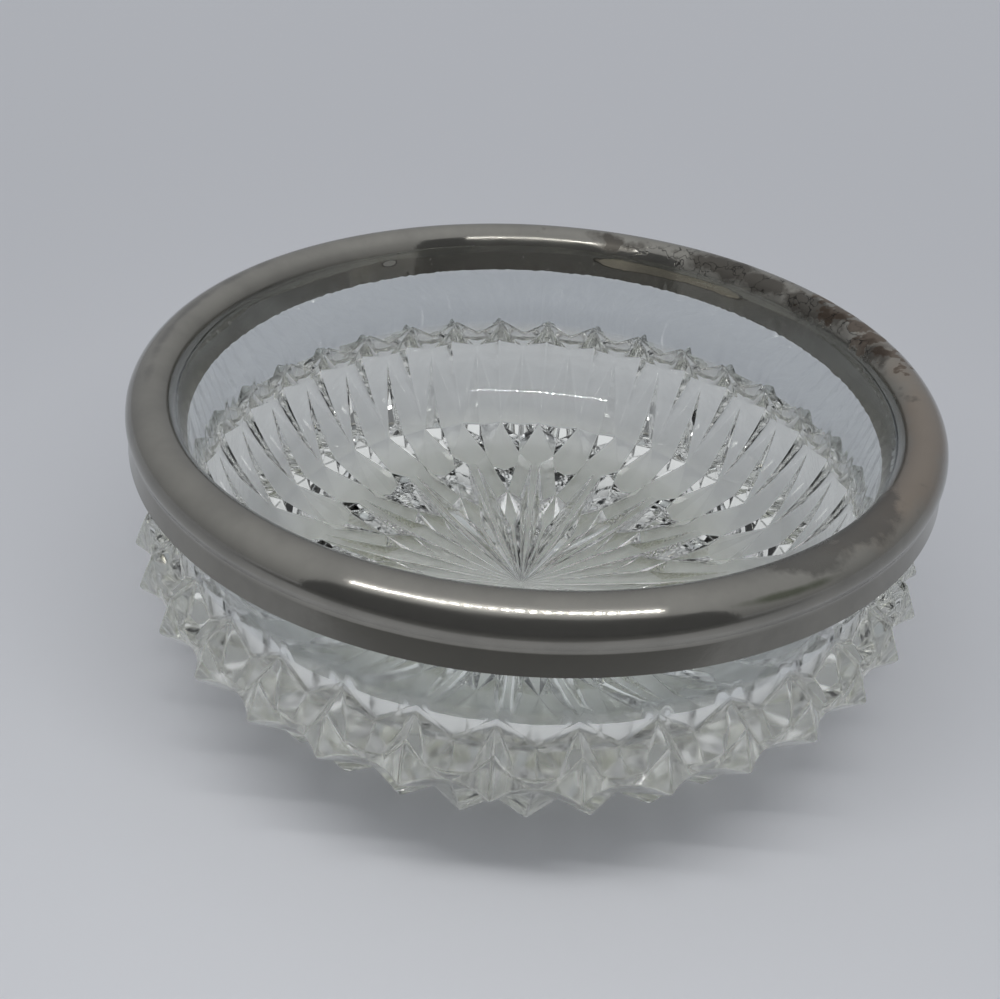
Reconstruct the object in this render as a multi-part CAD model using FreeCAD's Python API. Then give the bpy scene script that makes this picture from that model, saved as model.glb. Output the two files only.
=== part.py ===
import FreeCAD, Part
import math
import os

# Candy dish: a heavy pressed-glass bowl with a toothed shoulder and a cut star pattern
# underneath, and a plated metal band pressed over its lip. Lengths in millimetres, turns in
# degrees. Origin at the middle of the foot, +Z up. A tooth of the shoulder points along +X.
overall_height = 61.3

# Metal band
rim_outer_radius = 75.5
rim_height = 10.1
rim_sheet = 0.7
moulding_radius = 4.5
crease_width = 3.8
crease_drop = 3.1
inner_lip_drop = 9.4
inner_lip_slant = 1.6
waist_depth = 1.1
waist_drop = 6.9
skirt_flare = 0.4
seat_clearance = 0.1

# Glass bowl: its inside, and the plain neck between the band and the shoulder
floor_thickness = 7.5
corner_power = 3.7
floor_power = 4.3
bowl_curve_steps = 12
neck_inset = 5.3
neck_root_height = 22.0
collar_rise = 1.2
collar_step = 1.0
collar_inset = 0.3
lip_overshoot = 8.0

# Toothed shoulder: a ridge runs out from the neck to each tooth, with a flute between two
tooth_count = 36
tooth_reach = 8.4
tooth_height = 27.7
ridge_reach = 5.2
ridge_height = 34.5
neck_line_height = 36.0
neck_line_dip = 2.6
flute_corner_height = 29.7
flute_floor_height = 29.1
scallop_depth = 3.3
scallop_height = 27.5
scallop_steps = 2
roof_tuck = 1.7

# Cut pattern below the teeth: kites between them, then petals, then the star's leaves.
# Each ring is set inwards from the one outside it.
crossing_inset = 16.8
crossing_height = 8.2
kite_inset = 14.9
kite_height = 5.5
lower_crossing_inset = 9.8
lower_crossing_height = 2.8
petal_inset = 13.2
petal_height = 0.3
petal_half_turn = 4.4
dip_inset = 2.2
foot_trim = 0.35
notch_inset = 10.9
notch_height = 2.2

# Star: a long ray at every other tooth, a pit on each side of it, a short tree between
ray_top_inset = 12.8
ray_top_height = 1.3
ray_top_half_turn = 1.25
ray_ring_height = 0.7
ray_ring_half_turn = 1.0
ring_inset = 2.0
ring_corner_height = 0.9
pit_height = 2.6
pit_turn = 3.0
pocket_inset = 4.0
pocket_height = 3.0
cap_inset = 3.8
cap_height = 0.8
cap_half_turn = 3.3
stem_inset = 3.7
stem_height = 0.9
stem_half_turn = 1.3
groove_inset = 9.0
groove_height = 2.0
star_centre_height = 1.3

# Places that follow from the sizes above
pitch = 360.0 / tooth_count
moulding_centre_radius = rim_outer_radius - moulding_radius
moulding_centre_height = overall_height - moulding_radius
crease_radius = moulding_centre_radius - crease_width
crease_height = overall_height - crease_drop
inner_lip_radius = crease_radius - inner_lip_slant
inner_lip_height = overall_height - inner_lip_drop
waist_radius = rim_outer_radius - waist_depth
waist_height = overall_height - waist_drop
skirt_radius = rim_outer_radius + skirt_flare
skirt_height = overall_height - rim_height
glass_gap = rim_sheet + seat_clearance
neck_radius = rim_outer_radius - neck_inset
tooth_radius = neck_radius + tooth_reach
ridge_radius = neck_radius + ridge_reach
scallop_radius = tooth_radius - scallop_depth
crossing_radius = tooth_radius - crossing_inset
kite_radius = tooth_radius - kite_inset
lower_crossing_radius = crossing_radius - lower_crossing_inset
petal_radius = crossing_radius - petal_inset
dip_radius = petal_radius - dip_inset
notch_radius = dip_radius - notch_inset
ray_top_radius = crossing_radius - ray_top_inset
ring_radius = notch_radius - ring_inset
pocket_radius = ring_radius - pocket_inset
cap_radius = pocket_radius - cap_inset
stem_radius = cap_radius - stem_inset
groove_radius = stem_radius - groove_inset


def polar(radius, angle, height):
    turn = math.radians(angle)
    return FreeCAD.Vector(radius * math.cos(turn), radius * math.sin(turn), height)


def section(radius, height):
    return FreeCAD.Vector(radius, 0, height)


def line(start, end):
    return Part.LineSegment(start, end).toShape()


def crown(top, side, width, drop):
    """An arc from the level top of a moulding down to a point beside it."""
    radius = (width * width + drop * drop) / (2 * drop)
    half_turn = math.asin(width / radius) / 2
    middle = section(top.x + side * radius * math.sin(half_turn), top.z - radius * (1 - math.cos(half_turn)))
    return Part.Arc(top, middle, section(top.x + side * width, top.z - drop)).toShape()


def turned(edges):
    face = Part.Face(Part.Wire(Part.__sortEdges__(edges)))
    return face.revolve(FreeCAD.Vector(0, 0, 0), FreeCAD.Vector(0, 0, 1), 360)


def band_top():
    """The band's outside from its inner edge over the moulding to the waist."""
    top = section(moulding_centre_radius, overall_height)
    return [
        line(section(inner_lip_radius, inner_lip_height), section(crease_radius, crease_height)),
        crown(top, -1, crease_width, crease_drop),
        crown(top, 1, moulding_radius, moulding_radius),
        line(section(rim_outer_radius, moulding_centre_height), section(waist_radius, waist_height)),
    ]


def metal_rim():
    skirt = line(section(waist_radius, waist_height), section(skirt_radius, skirt_height))
    outline = Part.Wire(band_top() + [skirt])
    sheet = outline.makeOffset2D(-rim_sheet, join=2, fill=True, openResult=True)
    return sheet.revolve(FreeCAD.Vector(0, 0, 0), FreeCAD.Vector(0, 0, 1), 360)


def lip_outline():
    """The glass under the band, with its inner end and its outer end."""
    lip = Part.Wire(band_top()).makeOffset2D(-glass_gap, join=2, fill=False, openResult=True)
    ends = [lip.OrderedVertexes[0].Point, lip.OrderedVertexes[-1].Point]
    inner_end, outer_end = sorted(ends, key=lambda point: point.x)
    return lip, inner_end, outer_end


def neck():
    """The lip and the plain neck, filled in as far as the axis."""
    lip, inner_end, outer_end = lip_outline()
    slant = section(inner_lip_slant, inner_lip_drop - crease_drop).normalize()
    inside = inner_end - slant * lip_overshoot
    collar_bottom = skirt_height + collar_rise
    corners = [
        outer_end,
        section(outer_end.x - collar_inset, outer_end.z - collar_inset),
        section(outer_end.x - collar_inset, collar_bottom),
        section(neck_radius, collar_bottom - collar_step),
        section(neck_radius, neck_root_height),
        section(0, neck_root_height),
        section(0, inside.z),
        inside,
        inner_end,
    ]
    edges = [line(corners[i], corners[i + 1]) for i in range(len(corners) - 1)]
    return turned(edges + lip.Edges)


def bowl_cavity():
    """The inside of the bowl: a flat floor that turns up into an almost upright wall."""
    top = lip_outline()[1]
    depth = top.z - floor_thickness
    points = []
    for step in range(bowl_curve_steps + 1):
        drop = math.cos(math.pi / 2 * step / bowl_curve_steps)
        radius = top.x * (1 - drop ** floor_power) ** (1 / corner_power)
        points.append(section(radius, top.z - depth * drop))
    curve = Part.BSplineCurve()
    curve.interpolate(points)
    mouth = section(top.x, overall_height)
    above = section(0, overall_height)
    return turned([curve.toShape(), line(points[-1], mouth), line(mouth, above), line(above, points[0])])


def tucked(outer, inner):
    """A point on the neck, moved on along its facet so that it ends inside the neck."""
    return inner + (inner - outer) * (roof_tuck / ridge_reach)


def scallop_points(tooth, side):
    """Points along the scalloped edge, from a tooth to the valley beside it."""
    points = []
    for step in range(scallop_steps + 1):
        cut = 1 - (1 - step / scallop_steps) ** 2
        radius = tooth_radius - scallop_depth * cut
        height = tooth_height - (tooth_height - scallop_height) * cut
        points.append(polar(radius, (tooth + side * step / scallop_steps / 2) * pitch, height))
    return points


def facet(*corners):
    return Part.Face(Part.makePolygon(list(corners) + [corners[0]]))


def neck_root(tooth, side):
    """Where the shoulder's hidden inner side ends, at a tooth or at a valley beside it."""
    return polar(neck_radius - roof_tuck, (tooth + side / 2) * pitch, neck_root_height)


def shoulder_facets(tooth, side):
    """From a tooth to the valley: the ridge's side, half of the flute, flank and fan below."""
    middle = tooth * pitch
    valley = middle + side * pitch / 2
    ridge = polar(ridge_radius, middle, ridge_height)
    flute_corner = polar(ridge_radius, middle + side * pitch / 4, flute_corner_height)
    flute_floor = polar(ridge_radius, valley, flute_floor_height)
    neck_top = tucked(ridge, polar(neck_radius, middle, neck_line_height))
    neck_low = tucked(flute_floor, polar(neck_radius, valley, neck_line_height - neck_line_dip))
    crossing = polar(crossing_radius, middle, crossing_height)
    edge = scallop_points(tooth, side)
    half = scallop_steps // 2
    faces = [
        facet(neck_root(tooth, 0), neck_top, neck_low, neck_root(tooth, side)),
        facet(neck_top, ridge, flute_corner),
        facet(neck_top, flute_corner, neck_low),
        facet(neck_low, flute_corner, flute_floor),
        facet(ridge, edge[half], flute_corner),
        facet(flute_corner, edge[-1], flute_floor),
    ]
    for step in range(half):
        faces.append(facet(ridge, edge[step], edge[step + 1]))
        faces.append(facet(flute_corner, edge[half + step], edge[half + step + 1]))
    for here, there in zip(edge[:-1], edge[1:]):
        faces.append(facet(here, crossing, there))
    return faces


def kite_facets(tooth, side):
    valley = (tooth + side / 2) * pitch
    crossing = polar(crossing_radius, tooth * pitch, crossing_height)
    scallop = scallop_points(tooth, side)[-1]
    kite = polar(kite_radius, valley, kite_height)
    lower_crossing = polar(lower_crossing_radius, valley, lower_crossing_height)
    return [facet(scallop, crossing, kite), facet(kite, crossing, lower_crossing)]


def ray_facets(tooth, side):
    """Half of the long ray under a tooth, and the pit and the leaf beside it."""
    middle = tooth * pitch
    valley = middle + side * pitch / 2
    crossing = polar(crossing_radius, middle, crossing_height)
    lower_crossing = polar(lower_crossing_radius, valley, lower_crossing_height)
    top = polar(ray_top_radius, middle, ray_top_height)
    top_side = polar(ray_top_radius, middle + side * ray_top_half_turn, ray_top_height)
    ring = polar(ring_radius, middle, ray_ring_height)
    ring_side = polar(ring_radius, middle + side * ray_ring_half_turn, ray_ring_height)
    pit = polar(ring_radius, middle + side * pit_turn, pit_height)
    ring_corner = polar(ring_radius, valley, ring_corner_height)
    pocket = polar(pocket_radius, valley, pocket_height)
    groove = polar(groove_radius, valley, groove_height)
    centre = section(0, star_centre_height)
    return [
        facet(crossing, top, top_side),
        facet(top, ring_side, top_side),
        facet(top, ring, ring_side),
        facet(ring, centre, ring_side),
        facet(crossing, top_side, lower_crossing),
        facet(lower_crossing, top_side, ring_corner),
        facet(top_side, pit, ring_corner),
        facet(top_side, ring_side, pit),
        facet(pit, pocket, ring_corner),
        facet(ring_side, pocket, pit),
        facet(ring_side, groove, pocket),
        facet(ring_side, centre, groove),
    ]


def petal_facets(tooth, side):
    """Half of the petal and the notch under a plain tooth, and half of the short tree."""
    middle = tooth * pitch
    valley = middle + side * pitch / 2
    crossing = polar(crossing_radius, middle, crossing_height)
    lower_crossing = polar(lower_crossing_radius, valley, lower_crossing_height)
    petal = polar(petal_radius, middle + side * petal_half_turn, petal_height)
    dip = polar(dip_radius, middle, -foot_trim)
    notch = polar(notch_radius, middle, notch_height)
    ring_corner = polar(ring_radius, valley, ring_corner_height)
    pocket = polar(pocket_radius, valley, pocket_height)
    groove = polar(groove_radius, valley, groove_height)
    cap = polar(cap_radius, middle, cap_height)
    cap_side = polar(cap_radius, middle + side * cap_half_turn, cap_height)
    stem = polar(stem_radius, middle, stem_height)
    stem_side = polar(stem_radius, middle + side * stem_half_turn, stem_height)
    centre = section(0, star_centre_height)
    return [
        facet(crossing, petal, lower_crossing),
        facet(crossing, dip, petal),
        facet(dip, notch, petal),
        facet(petal, notch, lower_crossing),
        facet(lower_crossing, notch, ring_corner),
        facet(ring_corner, notch, pocket),
        facet(notch, cap_side, pocket),
        facet(notch, cap, cap_side),
        facet(cap, stem_side, cap_side),
        facet(cap, stem, stem_side),
        facet(cap_side, stem_side, pocket),
        facet(stem_side, groove, pocket),
        facet(stem_side, centre, groove),
        facet(stem, centre, stem_side),
    ]


def cut_base():
    """The shoulder and everything below it, as a closed faceted form."""
    faces = []
    for tooth in range(tooth_count):
        underside = petal_facets if tooth % 2 else ray_facets
        for side in (-1, 1):
            faces.extend(shoulder_facets(tooth, side))
            faces.extend(kite_facets(tooth, side))
            faces.extend(underside(tooth, side))
    ring = [neck_root(tooth, side) for tooth in range(tooth_count) for side in (0, 1)]
    faces.append(facet(*ring))
    shell = Part.Shell(faces)
    shell.sewShape()
    solid = Part.Solid(shell)
    if solid.Volume < 0:
        solid.reverse()
    return solid


def below_foot():
    """Everything under the plane that the dish stands on."""
    reach = 2 * tooth_radius
    return Part.makeBox(reach, reach, reach, FreeCAD.Vector(-tooth_radius, -tooth_radius, -reach))


def glass_bowl():
    return neck().fuse(cut_base()).cut(bowl_cavity()).cut(below_foot())


os.makedirs("parts", exist_ok=True)
for name, shape in {"glass_bowl": glass_bowl(), "metal_rim": metal_rim()}.items():
    solid = shape.Solids[0]
    box = solid.optimalBoundingBox()
    print(name, len(shape.Solids), solid.isValid(), round(solid.Volume), round(box.XLength, 2), round(box.ZMax, 2))
    solid.exportStep("parts/" + name + ".step")
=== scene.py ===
import math
import bmesh
import bpy
from mathutils import Matrix, Vector, noise


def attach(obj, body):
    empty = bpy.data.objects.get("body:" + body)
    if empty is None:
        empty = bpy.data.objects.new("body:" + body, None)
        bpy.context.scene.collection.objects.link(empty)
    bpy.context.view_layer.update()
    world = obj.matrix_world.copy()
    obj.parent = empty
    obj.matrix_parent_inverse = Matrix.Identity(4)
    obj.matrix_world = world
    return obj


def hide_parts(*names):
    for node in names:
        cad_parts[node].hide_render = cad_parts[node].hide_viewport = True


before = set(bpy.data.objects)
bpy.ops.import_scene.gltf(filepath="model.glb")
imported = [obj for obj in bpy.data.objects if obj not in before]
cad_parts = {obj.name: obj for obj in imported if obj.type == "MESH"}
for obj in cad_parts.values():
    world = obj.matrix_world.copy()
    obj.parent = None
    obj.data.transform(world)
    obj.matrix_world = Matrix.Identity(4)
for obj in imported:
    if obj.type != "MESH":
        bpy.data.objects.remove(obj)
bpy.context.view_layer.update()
millimetre = 0.001  # piece sizes are written in millimetres and made metres in the mesh
print("frame loaded:", ", ".join(sorted(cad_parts)))


def ringPoint(radius, degrees, height):
    turn = math.radians(degrees)
    return Vector((radius * math.cos(turn), radius * math.sin(turn), height)) * millimetre


def mixed(start, end, share):
    return start + (end - start) * share


def linkObject(name, mesh):
    piece = bpy.data.objects.new(name, mesh)
    bpy.context.scene.collection.objects.link(piece)
    return piece


def settleModifiers(piece):
    # swaps the piece's mesh for its evaluated one, so that no modifier is left on it
    evaluated = piece.evaluated_get(bpy.context.evaluated_depsgraph_get())
    mesh = bpy.data.meshes.new_from_object(evaluated)
    piece.modifiers.clear()
    piece.data = mesh
    return mesh


# Glass bowl. One sector of two teeth holds the whole pattern, and it repeats round the axis.
bowl = {
    "sectors": 18, "pitch": 10.0, "samples": 8,  # degrees from tooth to tooth, mesh columns for each tooth
    "wallRadius": 66.3, "wallTop": 51.7, "floorHeight": 7.5, "cornerPower": 3.7, "floorPower": 4.3, "wallSteps": 30,
    "lip": [(66.35, 54.0), (66.9, 57.3), (68.6, 59.6), (71.0, 60.5), (73.1, 59.8), (74.4, 58.0), (74.6, 56.2), (73.9, 54.6), (73.6, 52.4), (70.2, 51.2)],
    "neckRadius": 70.2, "neckAtTooth": 36.0, "neckAtValley": 35.7, "fluteTop": (71.2, 32.3),
    "ridgeTop": (75.4, 34.5), "fluteCorner": (75.4, 29.7), "fluteFloor": (75.4, 29.1),
    "toothTip": (78.6, 27.7), "scallopValley": (75.3, 27.5),
    "crossing": (61.8, 8.2), "kitePeak": (63.7, 5.5), "lowerCrossing": (52.0, 2.8),
    "petalCorner": (48.6, 0.3), "petalHalfTurn": 4.4, "petalDip": (46.4, 0.0), "notch": (35.5, 2.2),
    "rayTop": (49.0, 1.3), "rayTopTurn": 1.25, "rayRing": (33.0, 0.7), "rayRingTurn": 1.0, "rayEnd": (13.0, 0.9), "rayEndTurn": 1.8,
    "pit": (33.5, 2.6), "pitTurn": 3.0, "ringCorner": (33.5, 0.9), "pocket": (29.5, 3.0),
    "cap": (25.7, 0.8), "capTurn": 3.3, "stem": (22.0, 0.9), "stemTurn": 1.3,
    "groove": (13.0, 2.0), "stemEnd": (13.0, 0.9), "stemEndTurn": 1.2, "centreHeight": 1.3,
    "seam": 0.01, "sharpAngle": 14,
    "edgeRounding": 0.6, "shoulderRadius": 60.0, "starShare": 0.30, "starRadius": 30.0,  # the star's edges are sharper
    # haze of handling on the outside at the front, set round the middle of the wall's section
    "haze": {"radius": 68.2, "height": 35.0, "turn": 261.7, "turnWidth": 78.0, "round": -5.0, "roundWidth": 94.0,
             "softness": 0.4, "ragged": 0.2, "detail": 40.0},
}


def innerWall():
    # an almost flat floor that turns up into an almost upright wall
    depth = bowl["wallTop"] - bowl["floorHeight"]
    points = []
    for step in range(1, bowl["wallSteps"] + 1):
        drop = math.cos(math.pi / 2 * step / bowl["wallSteps"])
        radius = bowl["wallRadius"] * (1 - drop ** bowl["floorPower"]) ** (1 / bowl["cornerPower"])
        points.append((radius, bowl["wallTop"] - depth * drop))
    return points


def between(start, end, share):
    return (mixed(start[0], end[0], share), mixed(start[1], end[1], share))


def makeSector():
    pitch, samples = bowl["pitch"], bowl["samples"]
    columns = 2 * samples
    half = samples // 2
    mesh = bmesh.new()
    stipple = mesh.faces.layers.float.new("stipple")

    def spot(place, degrees):
        return mesh.verts.new(ringPoint(place[0], degrees, place[1]))

    def face(*corners, grainy=0.0):
        mesh.faces.new(corners)[stipple] = grainy

    def turnOf(column):
        return pitch * (column / samples - 0.5)

    fromTooth = [abs(turnOf(c) - pitch * round(turnOf(c) / pitch + 0.001)) / (pitch / 2) for c in range(columns + 1)]

    def row(placeAt):
        return [spot(placeAt(c), turnOf(c)) for c in range(columns + 1)]

    def neckLine(c):
        return (bowl["neckRadius"], mixed(bowl["neckAtTooth"], bowl["neckAtValley"], fromTooth[c]))

    def edge(c):
        return between(bowl["toothTip"], bowl["scallopValley"], 1 - (1 - fromTooth[c]) ** 2)

    rows = [row(lambda c: place) for place in innerWall() + bowl["lip"]]
    lipEnd = bowl["lip"][-1]
    rows += [row(lambda c: between(lipEnd, neckLine(c), step / 4)) for step in range(1, 5)]
    floorMiddle = spot((0, bowl["floorHeight"]), 0)
    for c in range(columns):
        face(floorMiddle, rows[0][c], rows[0][c + 1])
    for upper, lower in zip(rows[:-1], rows[1:]):
        for c in range(columns):
            face(upper[c], lower[c], lower[c + 1], upper[c + 1])

    neckEdge, rim = rows[-1], row(edge)
    for tooth in (0, 1):
        crossing = spot(bowl["crossing"], tooth * pitch)
        ridge = spot(bowl["ridgeTop"], tooth * pitch)
        middle = tooth * samples + half
        for side in (-1, 1):
            valley = (tooth + side / 2) * pitch
            corner = spot(bowl["fluteCorner"], (tooth + side / 4) * pitch)
            fluteTop, fluteFloor = spot(bowl["fluteTop"], valley), spot(bowl["fluteFloor"], valley)
            top = rim[middle + side * half]
            face(neckEdge[middle], ridge, corner)
            face(neckEdge[middle], corner, fluteTop)
            face(fluteTop, corner, fluteFloor)
            face(ridge, rim[middle + side * half // 2], corner)
            face(corner, top, fluteFloor)
            for step in range(half):
                here, there = middle + side * step, middle + side * (step + 1)
                face(neckEdge[here], fluteTop, neckEdge[there])
                face(ridge if step < half // 2 else corner, rim[here], rim[there])
                face(rim[here], crossing, rim[there])
            peak, low = spot(bowl["kitePeak"], valley), spot(bowl["lowerCrossing"], valley)
            face(top, crossing, peak)
            face(peak, crossing, low)

    centre = spot((0, bowl["centreHeight"]), 0)
    for side in (-1, 1):
        # from the long ray at 0 to the plain tooth on either side of it
        plain = side * pitch
        crossing, low = spot(bowl["crossing"], 0), spot(bowl["lowerCrossing"], plain / 2)
        rayTop, rayRing = spot(bowl["rayTop"], side * bowl["rayTopTurn"]), spot(bowl["rayRing"], side * bowl["rayRingTurn"])
        rayEnd = spot(bowl["rayEnd"], side * bowl["rayEndTurn"])
        middleTop, middleRing, middleEnd = spot(bowl["rayTop"], 0), spot(bowl["rayRing"], 0), spot(bowl["rayEnd"], 0)
        pit, pocket = spot(bowl["pit"], side * bowl["pitTurn"]), spot(bowl["pocket"], plain / 2)
        ringCorner, notch = spot(bowl["ringCorner"], plain / 2), spot(bowl["notch"], plain)
        petalCorner = spot(bowl["petalCorner"], plain - side * bowl["petalHalfTurn"])
        dip, nextCrossing = spot(bowl["petalDip"], plain), spot(bowl["crossing"], plain)
        cap, capMiddle = spot(bowl["cap"], plain - side * bowl["capTurn"]), spot(bowl["cap"], plain)
        stem, stemMiddle = spot(bowl["stem"], plain - side * bowl["stemTurn"]), spot(bowl["stem"], plain)
        stemEnd, endMiddle = spot(bowl["stemEnd"], plain - side * bowl["stemEndTurn"]), spot(bowl["stemEnd"], plain)
        groove = spot(bowl["groove"], plain / 2)
        face(crossing, middleTop, rayTop)
        face(middleTop, middleRing, rayRing, rayTop)
        face(middleRing, middleEnd, rayEnd, rayRing)
        face(middleEnd, centre, rayEnd)
        face(crossing, low, rayTop)
        face(low, ringCorner, rayTop)
        face(rayTop, ringCorner, pit, grainy=1.0)
        face(rayTop, pit, rayRing, grainy=1.0)
        face(pit, ringCorner, pocket, grainy=1.0)
        face(rayRing, pit, pocket, grainy=1.0)
        face(rayRing, pocket, groove)
        face(rayRing, groove, rayEnd)
        face(rayEnd, groove, centre)
        face(nextCrossing, low, petalCorner)
        face(nextCrossing, petalCorner, dip)
        face(low, notch, petalCorner)
        face(petalCorner, notch, dip, grainy=0.5)
        face(low, notch, ringCorner, grainy=0.2)
        face(ringCorner, notch, pocket, grainy=1.0)
        face(notch, cap, pocket, grainy=0.6)
        face(notch, capMiddle, cap)
        face(cap, stem, pocket)
        face(cap, capMiddle, stemMiddle, stem)
        face(pocket, stem, groove)
        face(groove, stem, stemEnd)
        face(groove, stemEnd, centre)
        face(stem, stemMiddle, endMiddle, stemEnd)
        face(stemEnd, endMiddle, centre)
    bmesh.ops.remove_doubles(mesh, verts=mesh.verts, dist=bowl["seam"] * millimetre)
    data = bpy.data.meshes.new("glassSector")
    mesh.to_mesh(data)
    mesh.free()
    return data


def repeatTree():
    # turns a sector round the axis, joins the seams and gives the result its finish
    tree = bpy.data.node_groups.new("repeatRoundAxis", "GeometryNodeTree")
    sockets = {"sector": tree.interface.new_socket("Sector", in_out="INPUT", socket_type="NodeSocketGeometry")}
    sockets["count"] = tree.interface.new_socket("Count", in_out="INPUT", socket_type="NodeSocketInt")
    sockets["seam"] = tree.interface.new_socket("Seam", in_out="INPUT", socket_type="NodeSocketFloat")
    sockets["finish"] = tree.interface.new_socket("Finish", in_out="INPUT", socket_type="NodeSocketMaterial")
    tree.interface.new_socket("Bowl", in_out="OUTPUT", socket_type="NodeSocketGeometry")
    nodes, link = tree.nodes, tree.links.new
    given, result = nodes.new("NodeGroupInput"), nodes.new("NodeGroupOutput")
    line, index = nodes.new("GeometryNodeMeshLine"), nodes.new("GeometryNodeInputIndex")
    line.inputs["Offset"].default_value = (0, 0, 0)
    step, turn = nodes.new("ShaderNodeMath"), nodes.new("ShaderNodeMath")
    step.operation, turn.operation = "DIVIDE", "MULTIPLY"
    step.inputs[0].default_value = math.tau
    angles, spin = nodes.new("ShaderNodeCombineXYZ"), nodes.new("FunctionNodeEulerToRotation")
    place, real = nodes.new("GeometryNodeInstanceOnPoints"), nodes.new("GeometryNodeRealizeInstances")
    join, finish = nodes.new("GeometryNodeMergeByDistance"), nodes.new("GeometryNodeSetMaterial")
    link(given.outputs["Count"], line.inputs["Count"])
    link(given.outputs["Count"], step.inputs[1])
    link(step.outputs[0], turn.inputs[0])
    link(index.outputs[0], turn.inputs[1])
    link(turn.outputs[0], angles.inputs["Z"])
    link(angles.outputs[0], spin.inputs[0])
    link(line.outputs["Mesh"], place.inputs["Points"])
    link(given.outputs["Sector"], place.inputs["Instance"])
    link(spin.outputs[0], place.inputs["Rotation"])
    link(place.outputs[0], real.inputs[0])
    link(real.outputs[0], join.inputs["Geometry"])
    link(given.outputs["Seam"], join.inputs["Distance"])
    link(join.outputs[0], finish.inputs["Geometry"])
    link(given.outputs["Finish"], finish.inputs["Material"])
    link(finish.outputs[0], result.inputs[0])
    return tree, {name: socket.identifier for name, socket in sockets.items()}


def shadeByAngle(mesh, degrees):
    # smooth everywhere but at edges sharper than the given angle, with the faces outward
    work = bmesh.new()
    work.from_mesh(mesh)
    bmesh.ops.recalc_face_normals(work, faces=work.faces)
    for part in work.faces:
        part.smooth = True
    for line in work.edges:
        line.smooth = line.calc_face_angle(0) < math.radians(degrees)
    work.to_mesh(mesh)
    work.free()


def markRounding(mesh):
    work = bmesh.new()
    work.from_mesh(mesh)
    share = work.edges.layers.float.new("bevel_weight_edge")
    for line in work.edges:
        inner, outer = sorted(vert.co.xy.length / millimetre for vert in line.verts)
        onNeck = outer < bowl["neckRadius"] + 0.5 < inner + 1
        if not line.smooth and not onNeck:
            towardsMiddle = min(1.0, outer / bowl["starRadius"])
            line[share] = 1.0 if inner > bowl["shoulderRadius"] else bowl["starShare"] * towardsMiddle
    work.to_mesh(mesh)
    work.free()


def markHaze(mesh):
    # 1 in the middle of the haze, 0 from its border on
    haze = bowl["haze"]
    levels = mesh.attributes.new("haze", "FLOAT", "POINT").data
    for vert, level in zip(mesh.vertices, levels):
        turn = math.degrees(math.atan2(vert.co.y, vert.co.x))
        aside = (turn - haze["turn"] + 180) % 360 - 180
        outward, above = vert.co.xy.length / millimetre - haze["radius"], vert.co.z / millimetre - haze["height"]
        across = (math.degrees(math.atan2(above, outward)) - haze["round"] + 180) % 360 - 180
        away = math.hypot(aside / haze["turnWidth"], across / haze["roundWidth"])
        away += noise.noise(vert.co * haze["detail"]) * haze["ragged"]
        level.value = min(1.0, max(0.0, (1 - away) / haze["softness"]))


def makeBowl(finish):
    piece = linkObject("glassBowl", makeSector())
    tree, socket = repeatTree()
    repeat = piece.modifiers.new("repeat", "NODES")
    repeat.node_group = tree
    repeat[socket["count"]] = bowl["sectors"]
    repeat[socket["seam"]] = bowl["seam"] * millimetre
    repeat[socket["finish"]] = finish
    settleModifiers(piece)
    shadeByAngle(piece.data, bowl["sharpAngle"])
    markRounding(piece.data)
    rounding = piece.modifiers.new("edges", "BEVEL")
    rounding.width = bowl["edgeRounding"] * millimetre
    rounding.segments = 2
    rounding.limit_method = "WEIGHT"
    rounding.harden_normals = True
    markHaze(settleModifiers(piece))
    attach(piece, "root")
    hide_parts("glass_bowl")
    print("glass bowl made:", len(piece.data.polygons), "faces")
    return piece


# Metal band, pressed over the lip. Heights are measured down from the top of the dish.
band = {
    "columns": 720, "sheet": 0.7, "top": 61.3,
    "innerEdge": (65.7, 9.6), "crease": (67.2, 3.1), "crown": (71.0, 0.0), "mouldingRadius": 4.5,
    "waist": (75.0, 6.2), "skirt": (75.9, 10.1),
    "tear": 0.35, "tearDetail": 900.0, "dent": 0.12, "dentDetail": 60.0,
}


def bandProfile():
    # outside of the band, from the torn inner edge over the moulding to the foot of the skirt
    top = band["top"]
    points = []
    inner, crease, crown = band["innerEdge"], band["crease"], band["crown"]
    for step in range(10):
        points.append((mixed(inner[0], crease[0], step / 10), top - mixed(inner[1], crease[1], step / 10)))
    width, drop = crown[0] - crease[0], crease[1]
    arc = (width * width + drop * drop) / (2 * drop)
    for step in range(10):
        aside = width * (1 - step / 10)
        points.append((crown[0] - aside, top - arc + math.sqrt(arc * arc - aside * aside)))
    radius = band["mouldingRadius"]
    for step in range(16):
        turn = math.radians(90 - 90 * step / 15)
        points.append((crown[0] + radius * math.cos(turn), top - radius + radius * math.sin(turn)))
    waist, skirt = band["waist"], band["skirt"]
    for step in range(1, 7):
        points.append((mixed(crown[0] + radius, waist[0], step / 6), mixed(top - radius, top - waist[1], step / 6)))
    for step in range(1, 9):
        points.append((mixed(waist[0], skirt[0], step / 8), top - mixed(waist[1], skirt[1], step / 8)))
    return points


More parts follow.
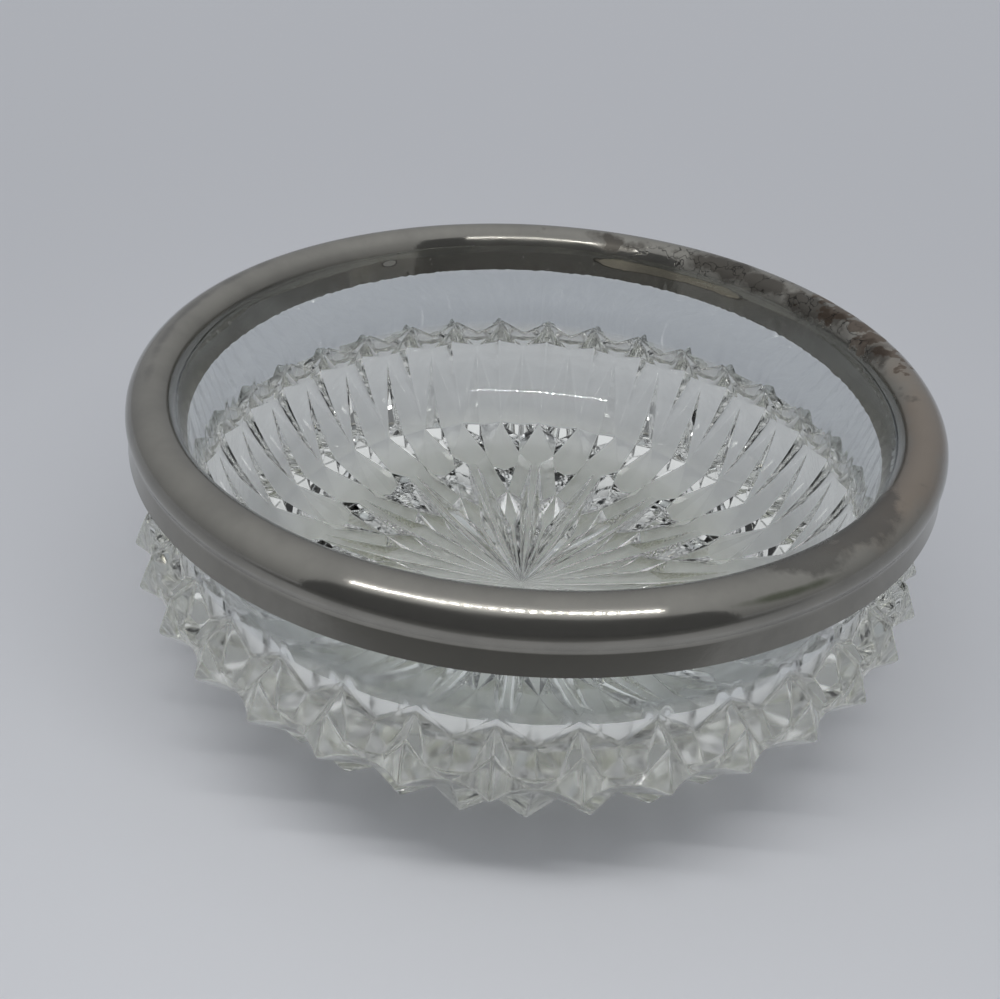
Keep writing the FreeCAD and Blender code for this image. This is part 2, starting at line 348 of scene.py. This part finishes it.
def makeBand(finish):
    profile = bandProfile()
    inside = []
    for i, (radius, height) in enumerate(profile):
        before, after = profile[max(0, i - 1)], profile[min(len(profile) - 1, i + 1)]
        run = Vector((after[0] - before[0], after[1] - before[1])).normalized()
        inside.append((radius - run.y * -band["sheet"], height - run.x * band["sheet"]))
    mesh = bmesh.new()
    columns = band["columns"]
    rings = []
    for place in profile + inside[::-1]:
        rings.append([mesh.verts.new(ringPoint(place[0], 360 * c / columns, place[1])) for c in range(columns)])
    for ring, nextRing in zip(rings, rings[1:] + rings[:1]):
        for c in range(columns):
            after = (c + 1) % columns
            mesh.faces.new((ring[c], nextRing[c], nextRing[after], ring[after]))
    edgeHeight = (band["top"] - band["innerEdge"][1]) * millimetre
    for vert in mesh.verts:
        spread = max(0.0, 1 - (vert.co.z - edgeHeight) / (2.5 * millimetre)) if vert.co.xy.length < 67 * millimetre else 0.0
        tear = noise.noise(vert.co.xyz * Vector((1, 1, 0)) * band["tearDetail"]) * band["tear"] * millimetre
        dent = noise.noise(vert.co * band["dentDetail"]) * band["dent"] * millimetre
        outward = Vector((vert.co.x, vert.co.y, 0)).normalized()
        vert.co += Vector((0, 0, tear * spread)) + outward * dent * 0.5
    bmesh.ops.recalc_face_normals(mesh, faces=mesh.faces)
    data = bpy.data.meshes.new("metalBand")
    mesh.to_mesh(data)
    mesh.free()
    shadeByAngle(data, 38)
    piece = linkObject("metalBand", data)
    data.materials.append(finish)
    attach(piece, "root")
    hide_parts("metal_rim")
    print("metal band made:", len(data.polygons), "faces")
    return piece


def nodeMaker(tree):
    # returns a function that adds a node, sets it up and feeds its inputs with values or sockets
    def add(kind, inputs, **settings):
        node = tree.nodes.new(kind)
        for name, value in settings.items():
            setattr(node, name, value)
        for name, value in inputs.items():
            if isinstance(value, bpy.types.NodeSocket):
                tree.links.new(value, node.inputs[name])
            else:
                node.inputs[name].default_value = value
        return node.outputs[0]

    def calculate(operation, *values):
        return add("ShaderNodeMath", dict(enumerate(values)), operation=operation)

    return add, calculate


def shaderGroup(name, inputs, outputs):
    group = bpy.data.node_groups.new(name, "ShaderNodeTree")
    group.interface.new_socket("Place", in_out="INPUT", socket_type="NodeSocketVector")
    for label in inputs:
        group.interface.new_socket(label, in_out="INPUT", socket_type="NodeSocketFloat")
    for label in outputs:
        group.interface.new_socket(label, in_out="OUTPUT", socket_type="NodeSocketFloat")
    return group, group.nodes.new("NodeGroupInput").outputs, group.nodes.new("NodeGroupOutput").inputs


def patchGroup():
    # an oval patch at one place round the axis (Turn) and round the section (Round), with a ragged outline
    labels = ["Centre Radius", "Centre Height", "Turn", "Turn Width", "Round", "Round Width", "Slant", "Ragged", "Detail", "Softness", "Fineness"]
    group, given, result = shaderGroup("patch", labels, ["Mask", "Outline"])
    add, calculate = nodeMaker(group)
    split = group.nodes.new("ShaderNodeSeparateXYZ")
    group.links.new(given["Place"], split.inputs[0])
    x, y, z = split.outputs
    radius = calculate("SQRT", calculate("MULTIPLY_ADD", x, x, calculate("MULTIPLY", y, y)))
    turn = calculate("DEGREES", calculate("ARCTAN2", y, x))
    aside = calculate("WRAP", calculate("SUBTRACT", turn, given["Turn"]), 180.0, -180.0)
    above = calculate("SUBTRACT", z, given["Centre Height"])
    round = calculate("DEGREES", calculate("ARCTAN2", above, calculate("SUBTRACT", radius, given["Centre Radius"])))
    slanted = calculate("MULTIPLY_ADD", aside, given["Slant"], given["Round"])
    across = calculate("WRAP", calculate("SUBTRACT", round, slanted), 180.0, -180.0)
    along = calculate("DIVIDE", aside, given["Turn Width"])
    across = calculate("DIVIDE", across, given["Round Width"])
    away = calculate("SQRT", calculate("MULTIPLY_ADD", along, along, calculate("MULTIPLY", across, across)))
    cloud = add("ShaderNodeTexNoise", {"Vector": given["Place"], "Scale": given["Detail"], "Detail": given["Fineness"], "Roughness": 0.6})
    ragged = calculate("MULTIPLY_ADD", calculate("SUBTRACT", cloud, 0.5), given["Ragged"], away)
    inner = calculate("SUBTRACT", 1.0, given["Softness"])
    mask = add("ShaderNodeMapRange", {0: ragged, 1: 1.0, 2: inner, 3: 0.0, 4: 1.0})
    group.links.new(mask, result["Mask"])
    outline = calculate("MULTIPLY", calculate("MULTIPLY", mask, calculate("SUBTRACT", 1.0, mask)), 4.0)
    group.links.new(outline, result["Outline"])
    return group


def grainGroup():
    # cloudy spots of one size, kept between two levels: mottling when wide apart, specks when close
    group, given, result = shaderGroup("grain", ["Scale", "Low", "High", "Fineness"], ["Mask"])
    add, calculate = nodeMaker(group)
    cloud = add("ShaderNodeTexNoise", {"Vector": given["Place"], "Scale": given["Scale"], "Detail": given["Fineness"], "Roughness": 0.62})
    mask = add("ShaderNodeMapRange", {0: cloud, 1: given["Low"], 2: given["High"], 3: 0.0, 4: 1.0})
    group.links.new(mask, result["Mask"])
    return group


def crackGroup():
    # thin wandering lines between the cells of a flaking skin
    group, given, result = shaderGroup("cracks", ["Scale", "Width", "Wander"], ["Mask"])
    add, calculate = nodeMaker(group)
    sway = group.nodes.new("ShaderNodeTexNoise")
    sway.inputs["Scale"].default_value = 260.0
    group.links.new(given["Place"], sway.inputs["Vector"])
    moved = add("ShaderNodeVectorMath", {0: sway.outputs["Color"], 1: (0.5, 0.5, 0.5)}, operation="SUBTRACT")
    shift = group.nodes.new("ShaderNodeVectorMath")
    shift.operation = "SCALE"
    group.links.new(moved, shift.inputs[0])
    group.links.new(given["Wander"], shift.inputs["Scale"])
    place = add("ShaderNodeVectorMath", {0: given["Place"], 1: shift.outputs[0]}, operation="ADD")
    cell = add("ShaderNodeTexVoronoi", {"Vector": place, "Scale": given["Scale"]}, feature="DISTANCE_TO_EDGE")
    mask = add("ShaderNodeMapRange", {0: cell, 1: given["Width"], 2: 0.0, 3: 0.0, 4: 1.0})
    group.links.new(mask, result["Mask"])
    return group


patch, grain, cracks = patchGroup(), grainGroup(), crackGroup()
for group in (patch, grain):
    group.interface.items_tree["Fineness"].default_value = 5.0


def newMaterial(name):
    material = bpy.data.materials.new(name)
    material.use_nodes = True
    return material, material.node_tree, material.node_tree.nodes["Principled BSDF"]


def groupOf(tree, group, place, values):
    node = tree.nodes.new("ShaderNodeGroup")
    node.node_tree = group
    tree.links.new(place, node.inputs["Place"])
    for name, value in values.items():
        node.inputs[name].default_value = value
    return node.outputs


glassFinish = {
    # the neck's tint is painted shade: a greyer glass colour in the band round the neck, for the shadowed floor seen
    # through it
    "neckHeight": 0.0435, "neckReach": 0.0082, "neckFull": 0.0072, "neckShadeTint": (0.77, 0.80, 0.81, 1), "clear": (0.96, 0.97, 0.93, 1), "ior": 1.52,
    # slow ripples, and in the star's pits a fine stipple that holds grime
    "surface": {"Low": 0.2, "High": 0.8, "Fineness": 0.0}, "rippleScale": 180.0, "stippleScale": 1220.0, "rippleDepth": 0.00001,
    "stippleShare": 5.0, "stippleRoughness": 0.07, "grimeLevel": 1.2, "grimeColour": (0.58, 0.59, 0.45, 1),
    "hazeRoughness": 0.16,
}


def makeGlass():
    material, tree, shader = newMaterial("pressedGlass")
    add, calculate = nodeMaker(tree)
    shader.inputs["IOR"].default_value = glassFinish["ior"]
    shader.inputs["Transmission Weight"].default_value = 1.0
    place = tree.nodes.new("ShaderNodeTexCoord").outputs["Object"]
    split = tree.nodes.new("ShaderNodeSeparateXYZ")
    tree.links.new(place, split.inputs[0])
    # painted shade: the glass colour turns greyer in a band at the neck's height
    fromNeck = calculate("ABSOLUTE", calculate("SUBTRACT", split.outputs["Z"], glassFinish["neckHeight"]))
    neckShade = add("ShaderNodeMapRange", {0: fromNeck, 1: glassFinish["neckReach"], 2: glassFinish["neckFull"]})
    colour = add("ShaderNodeMixRGB", {0: neckShade, 1: glassFinish["clear"], 2: glassFinish["neckShadeTint"]})
    stipple = add("ShaderNodeAttribute", {}, attribute_name="stipple").node.outputs["Fac"]
    scale = calculate("MULTIPLY_ADD", stipple, glassFinish["stippleScale"], glassFinish["rippleScale"])
    surface = add("ShaderNodeGroup", {"Place": place, "Scale": scale, **glassFinish["surface"]}, node_tree=grain)
    grime = calculate("MULTIPLY", calculate("SUBTRACT", glassFinish["grimeLevel"], surface), stipple)
    colour = add("ShaderNodeMixRGB", {0: grime, 1: colour, 2: glassFinish["grimeColour"]})
    tree.links.new(colour, shader.inputs["Base Color"])
    roughness = calculate("MULTIPLY", stipple, glassFinish["stippleRoughness"])
    haze = add("ShaderNodeAttribute", {}, attribute_name="haze").node.outputs["Fac"]
    roughness = calculate("MULTIPLY_ADD", haze, glassFinish["hazeRoughness"], roughness)
    tree.links.new(roughness, shader.inputs["Roughness"])
    height = calculate("MULTIPLY", surface, calculate("MULTIPLY_ADD", stipple, glassFinish["stippleShare"], 1.0))
    bump = add("ShaderNodeBump", {"Distance": glassFinish["rippleDepth"], "Height": height})
    tree.links.new(bump, shader.inputs["Normal"])
    return material


# Wear of the plate. Round 0 is the band's outer side, 90 its top and 205 its inner face.
wear = {
    "plate": (0.30, 0.29, 0.26, 1), "shade": (0.19, 0.185, 0.17, 1), "roughness": 0.11, "brushing": 0.95,
    "centre": (0.071, 0.0568),
    "mottle": {"Scale": 95.0, "Low": 0.40, "High": 0.72}, "mottleShare": 0.45, "mottleRoughness": 0.06,
    "specks": {"Scale": 1500.0, "Low": 0.66, "High": 0.72}, "speckColour": (0.45, 0.44, 0.41, 1),
    "cracks": {"Scale": 150.0, "Width": 0.035, "Wander": 0.012},
    "brush": {"Scale": 700.0, "Low": 0.2, "High": 0.8}, "brushDepth": 0.000006, "crackDepth": 0.00006,
    "patches": [
        # brown bloom on the right, flaking skin at the right rear, dark stains in it
        {"colour": (0.30, 0.245, 0.195, 1), "share": 0.75, "roughness": 0.06,
         "at": {"Turn": 336.0, "Turn Width": 42.0, "Round": 90.0, "Round Width": 75.0, "Ragged": 1.4, "Detail": 60.0, "Softness": 0.6}},
        {"colour": (0.10, 0.092, 0.08, 1), "share": 0.9, "roughness": 0.18,
         "at": {"Turn": 26.0, "Turn Width": 42.0, "Round": 128.0, "Round Width": 40.0, "Ragged": 3.6, "Detail": 110.0, "Softness": 0.5}},
        {"colour": (0.15, 0.105, 0.075, 1), "share": 0.6, "roughness": 0.3,
         "at": {"Turn": 12.0, "Turn Width": 14.0, "Round": 100.0, "Round Width": 34.0, "Ragged": 6.5, "Detail": 260.0, "Softness": 0.3}},
        {"colour": (0.12, 0.115, 0.105, 1), "share": 0.7, "roughness": 0.15,
         "at": {"Turn": 308.0, "Turn Width": 16.0, "Round": 105.0, "Round Width": 50.0, "Ragged": 4.5, "Detail": 90.0, "Softness": 0.5}},
        # short greenish streak at the front right and a dull one at the left
        {"colour": (0.085, 0.095, 0.06, 1), "share": 0.75, "roughness": 0.1,
         "at": {"Turn": 291.0, "Turn Width": 8.0, "Round": 42.0, "Round Width": 9.0, "Slant": -0.4, "Ragged": 1.2, "Detail": 160.0, "Softness": 0.7}},
        {"colour": (0.16, 0.155, 0.145, 1), "share": 0.6, "roughness": 0.1,
         "at": {"Turn": 166.0, "Turn Width": 26.0, "Round": 88.0, "Round Width": 14.0, "Ragged": 2.4, "Detail": 120.0, "Softness": 0.7}},
        # cleared patch and a round spot on the inner face
        {"colour": (0.33, 0.30, 0.235, 1), "share": 0.85, "roughness": 0.12, "outline": 0.8,
         "at": {"Turn": 54.0, "Turn Width": 17.0, "Round": 196.0, "Round Width": 14.0, "Ragged": 1.5, "Detail": 70.0, "Softness": 0.12}},
        {"colour": (0.36, 0.35, 0.32, 1), "share": 0.7, "roughness": 0.2, "outline": 0.7,
         "at": {"Turn": 115.7, "Turn Width": 1.9, "Round": 199.0, "Round Width": 9.0, "Ragged": 0.5, "Detail": 300.0, "Softness": 0.3}},
    ],
    "flaking": {"Turn": 32.0, "Turn Width": 44.0, "Round": 135.0, "Round Width": 48.0, "Ragged": 2.0, "Detail": 80.0, "Softness": 0.4},
    "dusty": {"Turn": 82.0, "Turn Width": 70.0, "Round": 208.0, "Round Width": 26.0, "Ragged": 1.0, "Detail": 200.0, "Softness": 0.6},
    "crackColour": (0.035, 0.033, 0.03, 1),
}


def makeMetal():
    material, tree, shader = newMaterial("tarnishedPlate")
    add, calculate = nodeMaker(tree)
    place = tree.nodes.new("ShaderNodeTexCoord").outputs["Object"]
    centre = dict(zip(("Centre Radius", "Centre Height"), wear["centre"]))

    def tinted(under, over, share):
        return add("ShaderNodeMixRGB", {0: share, 1: under, 2: over})

    mottle = groupOf(tree, grain, place, wear["mottle"])[0]
    colour = tinted(wear["plate"], wear["shade"], calculate("MULTIPLY", mottle, wear["mottleShare"]))
    roughness = calculate("MULTIPLY_ADD", mottle, wear["mottleRoughness"], wear["roughness"])
    for mark in wear["patches"]:
        where = groupOf(tree, patch, place, {**centre, **mark["at"]})
        colour = tinted(colour, mark["colour"], calculate("MULTIPLY", where["Mask"], mark["share"]))
        roughness = calculate("MULTIPLY_ADD", where["Mask"], mark["roughness"], roughness)
        if "outline" in mark:
            colour = tinted(colour, wear["crackColour"], calculate("MULTIPLY", where["Outline"], mark["outline"]))
    flaking = groupOf(tree, patch, place, {**centre, **wear["flaking"]})["Mask"]
    crack = calculate("MULTIPLY", groupOf(tree, cracks, place, wear["cracks"])[0], flaking)
    colour = tinted(colour, wear["crackColour"], crack)
    dusty = groupOf(tree, patch, place, {**centre, **wear["dusty"]})["Mask"]
    dust = calculate("MULTIPLY", groupOf(tree, grain, place, wear["specks"])[0], dusty)
    colour = tinted(colour, wear["speckColour"], dust)
    roughness = calculate("ADD", roughness, calculate("MULTIPLY", dust, 0.3))
    shader.inputs["Metallic"].default_value = 1.0
    shader.inputs["Anisotropic"].default_value = wear["brushing"]
    shader.inputs["Anisotropic Rotation"].default_value = 0.25  # brushed round the band
    tree.links.new(colour, shader.inputs["Base Color"])
    tree.links.new(roughness, shader.inputs["Roughness"])
    brush = groupOf(tree, grain, place, wear["brush"])[0]
    fine = add("ShaderNodeBump", {"Distance": wear["brushDepth"], "Height": brush})
    deep = add("ShaderNodeBump", {"Distance": wear["crackDepth"], "Height": calculate("SUBTRACT", 1.0, crack), "Normal": fine})
    tree.links.new(deep, shader.inputs["Normal"])
    return material


pressedGlass = makeGlass()
tarnishedPlate = makeMetal()
makeBowl(pressedGlass)
makeBand(tarnishedPlate)


# Floor, light and camera, laid out as a small white photo tent with a strip of lamps in front.
studio = {
    "floorSize": 8.0, "floorColour": (0.70, 0.71, 0.735, 1),
    "paintedLightColour": (0.92, 0.93, 0.94, 1), "paintedLightAt": (0, 0.018, 0), "paintedLightFrom": 0.048, "paintedLightTo": 0.062,  # painted pool of light under the bowl: a paler floor colour for the light that the glass passes onto the floor
    "worldColour": (0.94, 0.96, 1.0, 1), "wallLight": 0.36, "roofLight": 0.77,
    "cardSize": (0.94, 0.50), "cardForward": -0.40, "tableEdge": -0.175, "edgeHeight": 0.001, "cardColour": (0.30, 0.30, 0.30, 1),
    "stripStart": -0.093, "stripEnd": 0.074, "stripForward": -0.107, "stripHeight": 0.185, "stripLamps": 26,
    "lampSize": 0.0024, "lampPower": 0.0032, "glowDepth": 0.03, "glowPower": 0.06, "stripTurn": -8.3,
}


def addLamp(name, place, aim, size, power):
    light = bpy.data.lights.new(name, "AREA")
    light.shape = "RECTANGLE"
    light.size, light.size_y = size
    light.energy = power
    lamp = bpy.data.objects.new(name, light)
    bpy.context.scene.collection.objects.link(lamp)
    lamp.location = place
    lamp.rotation_euler = (Vector(aim) - Vector(place)).to_track_quat("-Z", "Y").to_euler()
    return lamp


def makeStudio():
    bpy.ops.mesh.primitive_plane_add(size=studio["floorSize"])
    floor = bpy.context.object
    floor.name = "floor"
    material, tree, shader = newMaterial("floorCloth")
    add, _ = nodeMaker(tree)
    place = tree.nodes.new("ShaderNodeTexCoord").outputs["Object"]
    away = tree.nodes.new("ShaderNodeVectorMath")
    away.operation = "DISTANCE"
    away.inputs[1].default_value = studio["paintedLightAt"]
    tree.links.new(place, away.inputs[0])
    # painted light: the floor colour turns paler in a disc under the bowl, for the light the glass passes onto it
    share = add("ShaderNodeMapRange", {0: away.outputs["Value"], 1: studio["paintedLightTo"], 2: studio["paintedLightFrom"]})
    colour = add("ShaderNodeMixRGB", {0: share, 1: studio["floorColour"], 2: studio["paintedLightColour"]})
    tree.links.new(colour, shader.inputs["Base Color"])
    shader.inputs["Roughness"].default_value = 0.9
    shader.inputs["Specular IOR Level"].default_value = 0.1
    floor.data.materials.append(material)
    # dark opening of the tent on the camera's side and the table's edge under it, never seen in the image itself
    turned = Matrix.Rotation(math.radians(studio["stripTurn"]), 4, "Z")
    dark, _, darkShader = newMaterial("darkRoom")
    darkShader.inputs["Base Color"].default_value = studio["cardColour"]
    darkShader.inputs["Roughness"].default_value = 1.0
    width, height = studio["cardSize"]
    low, near, far = studio["edgeHeight"], studio["tableEdge"], studio["cardForward"]
    for name, rows in (("tentOpening", ((far, low), (far, height))), ("tableEdge", ((near, low), (far, low)))):
        corners = [turned @ Vector((side * width / 2, forward, up)) for forward, up in rows for side in (-1, 1)]
        sheet = bpy.data.meshes.new(name)
        sheet.from_pydata(corners, [], [(0, 1, 3, 2)])
        sheet.materials.append(dark)
        card = linkObject(name, sheet)
        card.visible_camera = False
        card.visible_shadow = False
        card.visible_diffuse = name == "tentOpening"
    world = bpy.data.worlds.new("tent")
    bpy.context.scene.world = world
    world.use_nodes = True
    world.cycles.sampling_method = "NONE"
    sky = world.node_tree.nodes["Background"]
    sky.inputs["Color"].default_value = studio["worldColour"]
    add, _ = nodeMaker(world.node_tree)
    split = world.node_tree.nodes.new("ShaderNodeSeparateXYZ")
    world.node_tree.links.new(world.node_tree.nodes.new("ShaderNodeTexCoord").outputs["Generated"], split.inputs[0])
    light = add("ShaderNodeMapRange", {0: split.outputs["Z"], 3: studio["wallLight"], 4: studio["roofLight"]})
    world.node_tree.links.new(light, sky.inputs["Strength"])
    for i in range(studio["stripLamps"]):
        across = mixed(studio["stripStart"], studio["stripEnd"], i / (studio["stripLamps"] - 1))
        place = turned @ Vector((across, studio["stripForward"], studio["stripHeight"]))
        addLamp("strip" + str(i), place, (0, 0, 0.04), (studio["lampSize"],) * 2, studio["lampPower"])
    # the light that the strip's cover spreads, so that the glass passes it on to the floor
    middle = turned @ Vector(((studio["stripStart"] + studio["stripEnd"]) / 2, studio["stripForward"], studio["stripHeight"]))
    glow = addLamp("stripCover", middle, middle - Vector((0, 0, 1)), (studio["stripEnd"] - studio["stripStart"], studio["glowDepth"]), studio["glowPower"])
    glow.visible_glossy = False
    glow.rotation_euler = (0, 0, math.radians(studio["stripTurn"]))


camera = {
    "rimRadius": 0.0755, "rimHeight": 0.0568, "turn": -8.3, "focal": 1.0,
    "back": 2.2889743, "above": 1.1998988, "yaw": -0.0331146, "pitch": 0.6083092, "roll": 0.0544134,
}


def makeCamera():
    yaw, pitch, roll = camera["yaw"], camera["pitch"], camera["roll"]
    forward = Vector((math.sin(yaw) * math.cos(pitch), math.cos(yaw) * math.cos(pitch), -math.sin(pitch)))
    level = Vector((math.cos(yaw), -math.sin(yaw), 0))
    upright = level.cross(forward)
    right = level * math.cos(roll) + upright * math.sin(roll)
    up = upright * math.cos(roll) - level * math.sin(roll)
    aim = Matrix((right, up, -forward)).transposed().to_4x4()
    place = Vector((0, -camera["back"], camera["above"])) * camera["rimRadius"]
    lens = bpy.data.cameras.new("photoCamera")
    lens.sensor_fit = "HORIZONTAL"
    lens.sensor_width = 36
    lens.lens = 36 * camera["focal"]
    view = bpy.data.objects.new("photoCamera", lens)
    bpy.context.scene.collection.objects.link(view)
    turn = Matrix.Rotation(math.radians(camera["turn"]), 4, "Z")
    view.matrix_world = Matrix.Translation((0, 0, camera["rimHeight"])) @ turn @ Matrix.Translation(place) @ aim
    bpy.context.scene.camera = view


makeStudio()
makeCamera()
bpy.context.scene.view_settings.view_transform = "Standard"
bpy.context.scene.cycles.max_bounces = 10  # light crosses the cut glass many times
bpy.context.scene.cycles.glossy_bounces = 8
bpy.context.scene.cycles.transmission_bounces = 10
print("floor, light and camera set")
